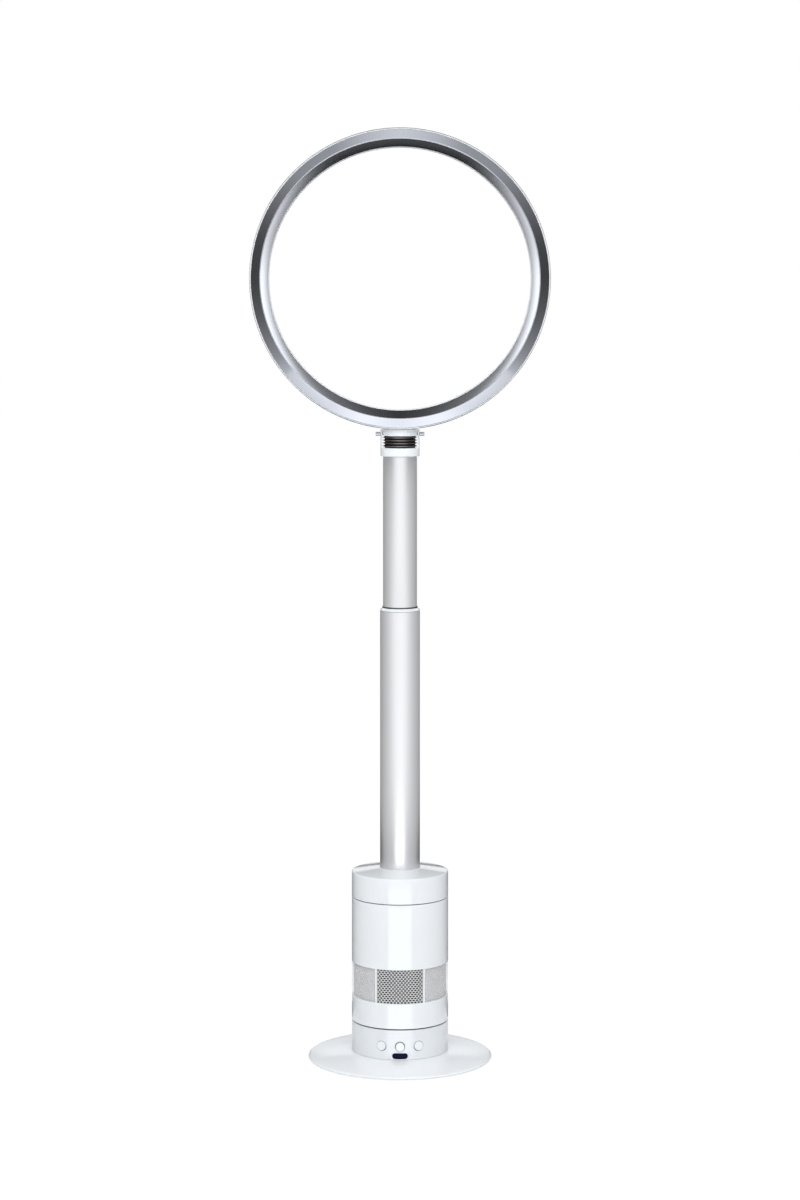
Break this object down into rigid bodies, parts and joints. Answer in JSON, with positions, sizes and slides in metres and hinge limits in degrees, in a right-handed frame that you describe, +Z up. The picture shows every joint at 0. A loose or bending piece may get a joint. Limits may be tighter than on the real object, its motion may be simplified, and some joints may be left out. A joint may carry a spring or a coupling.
{
  "type": "bladeless pedestal fan",
  "caption": "Tall pedestal fan with a round bladeless hoop on a telescopic pole, over a drum-shaped motor body that turns on a wide round base.",
  "frame": {"origin": "centre of the base on the floor, under the pole's axis", "axes": "+Z up along the pole, -Y towards the front with the controls, +X to the right seen from the front"},
  "size_m": [0.4538, 0.278, 1.4098],
  "materials": {
    "white_plastic": "glossy moulded plastic, very slightly cool",
    "silver_metallised": "bright metallised silver coat on plastic",
    "pole_silver": "satin anodised tube",
    "steel": "plain turned and plated steel",
    "iron": "dark coated iron",
    "brass": "machined",
    "black_rubber": "matt moulded rubber",
    "black_plastic": "fine moulded grain",
    "grey_plastic": "plain moulded, inside the casing",
    "smoked_window": "polished dark window",
    "circuit_board": "solder-masked board"
  },
  "bodies": {
    "base": {"foot_ring": "black_rubber", "base_plate": "iron", "base_cover": "white_plastic", "base_screw_1": "steel", "base_screw_2": "steel", "base_screw_3": "steel", "control_ring": "white_plastic", "display_window": "smoked_window", "control_board": "circuit_board", "speed_encoder": "black_plastic", "cord_gland": "black_rubber", "bearing_plate": "grey_plastic", "glide_ring": "black_plastic", "retaining_ring": "steel", "oscillation_motor": "steel"},
    "power_button": {"power_button": "white_plastic"},
    "oscillation_button": {"oscillation_button": "white_plastic"},
    "speed_dial": {"speed_dial": "white_plastic"},
    "pinion": {"oscillation_pinion": "brass"},
    "fan_body": {"turntable": "grey_plastic", "turntable_gear": "grey_plastic", "main_casing": "white_plastic", "intake_screen": "white_plastic", "driver_board": "circuit_board", "isolation_ring": "black_rubber", "impeller_housing": "grey_plastic", "diffuser": "grey_plastic", "motor_can": "steel", "motor_end_cap": "steel", "lower_bearing": "steel", "upper_bearing": "steel", "stator_core": "iron", "duct_collar": "black_rubber", "pole_socket": "grey_plastic", "clamp_screw": "steel", "top_cover": "white_plastic", "lower_pole": "pole_silver", "pole_bush": "white_plastic", "wiper_ring": "black_rubber"},
    "rotor": {"impeller": "grey_plastic", "motor_shaft": "steel", "rotor_magnet": "iron"},
    "sliding_pole": {"upper_pole": "pole_silver", "slide_bush": "black_plastic", "yoke": "white_plastic", "pivot_pin_left": "white_plastic", "pivot_pin_right": "white_plastic", "bellows": "black_rubber"},
    "hoop": {"neck_collar": "white_plastic", "neck_gasket": "black_rubber", "loop_outer_shell": "white_plastic", "loop_inner_shell": "silver_metallised", "front_trim": "silver_metallised", "loop_rib_1": "black_plastic", "loop_rib_2": "black_plastic", "loop_rib_3": "black_plastic", "loop_rib_4": "black_plastic", "loop_rib_5": "black_plastic", "loop_rib_6": "black_plastic"}
  },
  "joints": [
    {"name": "oscillation", "type": "hinge", "parent": "base", "child": "fan_body", "pos_m": [0, 0, 0.0594], "axis": [0, 0, 1], "range_deg": [-45, 45]},
    {"name": "pinion_spin", "type": "hinge", "parent": "base", "child": "pinion", "pos_m": [0, 0.0375, 0.0555], "axis": [0, 0, 1], "range_deg": [-181, 181]},
    {"name": "impeller_spin", "type": "hinge", "parent": "fan_body", "child": "rotor", "pos_m": [0, 0, 0.18], "axis": [0, 0, 1], "continuous": true},
    {"name": "pole_height", "type": "slide", "parent": "fan_body", "child": "sliding_pole", "axis": [0, 0, 1], "range_m": [-0.22, 0]},
    {"name": "hoop_tilt", "type": "hinge", "parent": "sliding_pole", "child": "hoop", "pos_m": [0, 0, 0.949], "axis": [1, 0, 0], "range_deg": [-10, 10], "deforming": ["bellows"]},
    {"name": "speed_turn", "type": "hinge", "parent": "base", "child": "speed_dial", "pos_m": [0, -0.073, 0.034], "axis": [0, -1, 0], "range_deg": [-135, 135]},
    {"name": "power_press", "type": "slide", "parent": "base", "child": "power_button", "axis": [0.3827, 0.9239, 0], "range_m": [0, 0.0015], "stiffness_N_per_m": 1200, "springref_m": -0.0003},
    {"name": "oscillation_press", "type": "slide", "parent": "base", "child": "oscillation_button", "axis": [-0.3827, 0.9239, 0], "range_m": [0, 0.0015], "stiffness_N_per_m": 1200, "springref_m": -0.0003}
  ],
  "couplings": [
    {"joint": "pinion_spin", "follows": "oscillation", "ratio": -4}
  ]
}
